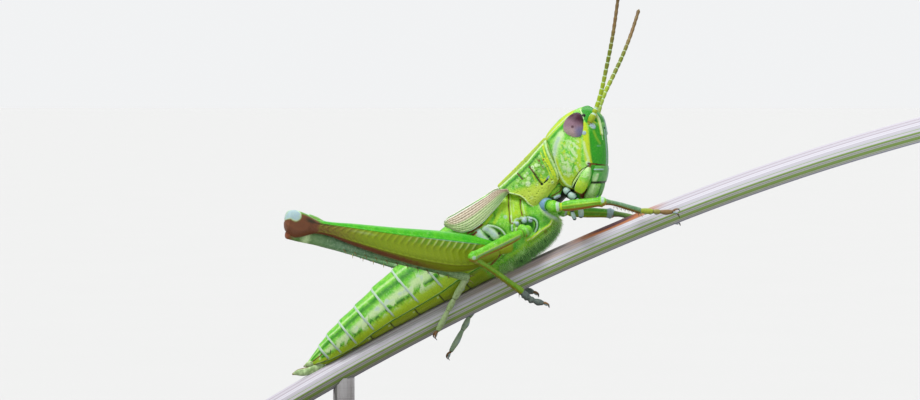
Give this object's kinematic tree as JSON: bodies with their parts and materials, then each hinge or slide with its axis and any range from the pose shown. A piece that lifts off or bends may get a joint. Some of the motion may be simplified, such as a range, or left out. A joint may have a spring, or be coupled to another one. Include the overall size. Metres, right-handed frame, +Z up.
{
  "type": "grasshopper model",
  "caption": "Life-size small gold grasshopper, short-winged green female, gripping a slanting dry stem held over a plain flat display base.",
  "frame": {"origin": "middle of the display base's underside", "axes": "+Z up; +X the way the insect faces, along the base's length; -Y the insect's right side"},
  "size_m": [0.046, 0.024, 0.0266],
  "materials": {
    "green_cuticle": "satin bright green cuticle with paler mottling and fine pits",
    "pale_cuticle": "satin pale green cuticle",
    "blue_green_cuticle": "satin blue-green cuticle, brown along the lower edge",
    "brown_cuticle": "satin olive-brown cuticle with pale joint rings",
    "eye": "smooth dark purple compound eye fading to pinkish beige",
    "wing": "leathery, pinkish above and pale green below, with raised veins",
    "dry_stem": "dry ribbed grass stem, whitish with olive stripes",
    "steel": "plain brushed steel",
    "dark_wood": "dark stained wood, satin"
  },
  "bodies": {
    "root": {"head": "green_cuticle", "pronotum": "green_cuticle", "thorax": "green_cuticle", "abdomen": "green_cuticle", "mandible_right": "green_cuticle", "mandible_left": "green_cuticle", "foreleg_right_femur": "green_cuticle", "foreleg_left_femur": "green_cuticle", "midleg_right_femur": "green_cuticle", "midleg_left_femur": "green_cuticle", "hindleg_right_femur": "green_cuticle", "hindleg_left_femur": "green_cuticle", "clypeus_labrum": "pale_cuticle", "palp_right": "pale_cuticle", "palp_left": "pale_cuticle", "ovipositor": "pale_cuticle", "hindleg_right_tarsus": "pale_cuticle", "hindleg_left_tarsus": "pale_cuticle", "foreleg_right_tibia": "blue_green_cuticle", "foreleg_left_tibia": "blue_green_cuticle", "midleg_right_tibia": "blue_green_cuticle", "midleg_left_tibia": "blue_green_cuticle", "hindleg_right_tibia": "blue_green_cuticle", "hindleg_left_tibia": "blue_green_cuticle", "antenna_right": "brown_cuticle", "antenna_left": "brown_cuticle", "foreleg_right_tarsus": "brown_cuticle", "foreleg_left_tarsus": "brown_cuticle", "midleg_right_tarsus": "brown_cuticle", "midleg_left_tarsus": "brown_cuticle", "eye_right": "eye", "eye_left": "eye", "forewing_right": "wing", "forewing_left": "wing", "perch_stem": "dry_stem", "stand_rod": "steel", "stand_base": "dark_wood"}
  },
  "joints": []
}
